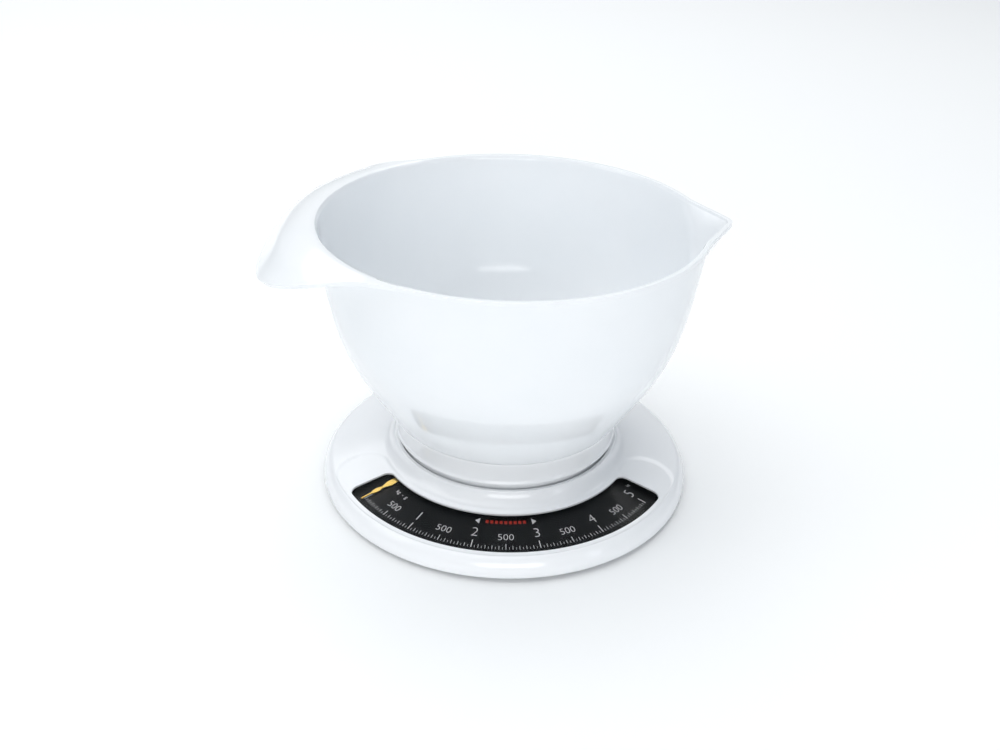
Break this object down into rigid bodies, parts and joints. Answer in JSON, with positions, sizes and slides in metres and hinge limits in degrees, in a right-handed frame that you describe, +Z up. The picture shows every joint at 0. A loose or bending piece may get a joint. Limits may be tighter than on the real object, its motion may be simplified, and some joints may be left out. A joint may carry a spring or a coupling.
{
  "type": "kitchen scale",
  "caption": "Round mechanical kitchen scale with a curved dial window, a sinking platform and a lift-off mixing bowl with a pouring lip and a handle.",
  "frame": {"origin": "on the table, near the middle of the overall length and width; the round body's axis stands 8.05 mm towards the spout from it", "axes": "+X towards the bowl's spout, -X towards its handle, -Y towards the dial window and the user, +Z up"},
  "size_m": [0.2413, 0.2086, 0.155],
  "materials": {
    "bowl_plastic": "glossy white polypropylene",
    "shell_plastic": "glossy white moulded plastic",
    "window_plastic": "clear glossy plastic",
    "dial_print": "satin black plastic with white print",
    "pointer_gold": "gold lacquered strip",
    "steel": "zinc plated pressed steel",
    "brass": "machined brass",
    "nylon": "natural nylon",
    "rubber": "dark matt rubber"
  },
  "bodies": {
    "housing": {"arbor_bush_lower": "nylon", "arbor_bush_upper": "nylon", "base_pan": "shell_plastic", "bracket_screw_1": "steel", "bracket_screw_2": "steel", "bracket_screw_3": "steel", "bracket_screw_4": "steel", "bridge_screw_1": "steel", "bridge_screw_2": "steel", "cage_screw_1": "steel", "cage_screw_2": "steel", "crank_bracket": "steel", "crank_pin": "steel", "crank_screw_1": "steel", "dial_plate": "dial_print", "dial_screw_1": "steel", "dial_screw_2": "steel", "dial_window": "window_plastic", "foot_1": "rubber", "foot_2": "rubber", "foot_3": "rubber", "foot_4": "rubber", "front_fulcrum_bracket": "steel", "housing_screw_1": "steel", "housing_screw_2": "steel", "housing_screw_3": "steel", "housing_screw_4": "steel", "main_spring": "steel", "movement_cage": "steel", "rack_keeper": "nylon", "rear_fulcrum_bracket": "steel", "spring_bridge": "steel", "top_cover": "shell_plastic", "zero_lever_pin": "steel"},
    "platform": {"platform_deck": "shell_plastic", "load_frame": "steel", "load_frame_screw_1": "steel", "load_frame_screw_2": "steel", "load_frame_screw_3": "steel", "load_frame_screw_4": "steel"},
    "main_lever": {"main_lever": "steel"},
    "short_lever": {"short_lever": "steel"},
    "bell_crank": {"bell_crank": "brass"},
    "rack": {"rack": "brass"},
    "pointer_shaft": {"pointer_arbor": "steel", "pinion": "brass", "pointer_hub": "brass", "pointer": "pointer_gold"},
    "zero_wheel": {"zero_wheel": "nylon"},
    "zero_lever": {"zero_lever": "steel"},
    "bowl": {"mixing_bowl": "bowl_plastic"}
  },
  "joints": [
    {"name": "platform_travel", "type": "slide", "parent": "housing", "child": "platform", "axis": [0, 0, -1], "range_m": [0, 0.002], "stiffness_N_per_m": 24525, "springref_m": -0.0003},
    {"name": "main_lever_tilt", "type": "hinge", "parent": "housing", "child": "main_lever", "pos_m": [0.00805, -0.044, 0.01], "axis": [-1, 0, 0], "range_deg": [0, 4.6], "deforming": ["main_spring"]},
    {"name": "short_lever_tilt", "type": "hinge", "parent": "housing", "child": "short_lever", "pos_m": [0.00805, 0.044, 0.01], "axis": [1, 0, 0], "range_deg": [0, 4.6]},
    {"name": "bell_crank_turn", "type": "hinge", "parent": "housing", "child": "bell_crank", "pos_m": [0.00225, 0.03, 0.01], "axis": [1, 0, 0], "range_deg": [0, 34.2]},
    {"name": "rack_slide", "type": "slide", "parent": "housing", "child": "rack", "axis": [0, -1, 0], "range_m": [0, 0.00652]},
    {"name": "pointer_turn", "type": "hinge", "parent": "housing", "child": "pointer_shaft", "pos_m": [0.00805, 0, 0.02], "axis": [0, 0, 1], "range_deg": [0, 115]},
    {"name": "bowl_lift", "type": "slide", "parent": "platform", "child": "bowl", "axis": [0, 0, 1], "range_m": [0, 0.06]},
    {"name": "zero_wheel_turn", "type": "hinge", "parent": "housing", "child": "zero_wheel", "pos_m": [0.00805, 0.092, 0.0106], "axis": [0, 0, 1], "range_deg": [-360, 360]},
    {"name": "zero_lever_tilt", "type": "hinge", "parent": "housing", "child": "zero_lever", "pos_m": [0.00805, 0.038, 0.03], "axis": [1, 0, 0], "range_deg": [-0.75, 0.75]}
  ],
  "couplings": [
    {"joint": "main_lever_tilt", "follows": "platform_travel", "rad_per_m": 40},
    {"joint": "short_lever_tilt", "follows": "platform_travel", "rad_per_m": 40},
    {"joint": "bell_crank_turn", "follows": "platform_travel", "rad_per_m": 296.71},
    {"joint": "rack_slide", "follows": "platform_travel", "ratio": 3.2474},
    {"joint": "pointer_turn", "follows": "platform_travel", "rad_per_m": 999.2},
    {"joint": "zero_lever_tilt", "follows": "zero_wheel_turn", "ratio": 0.002063}
  ]
}
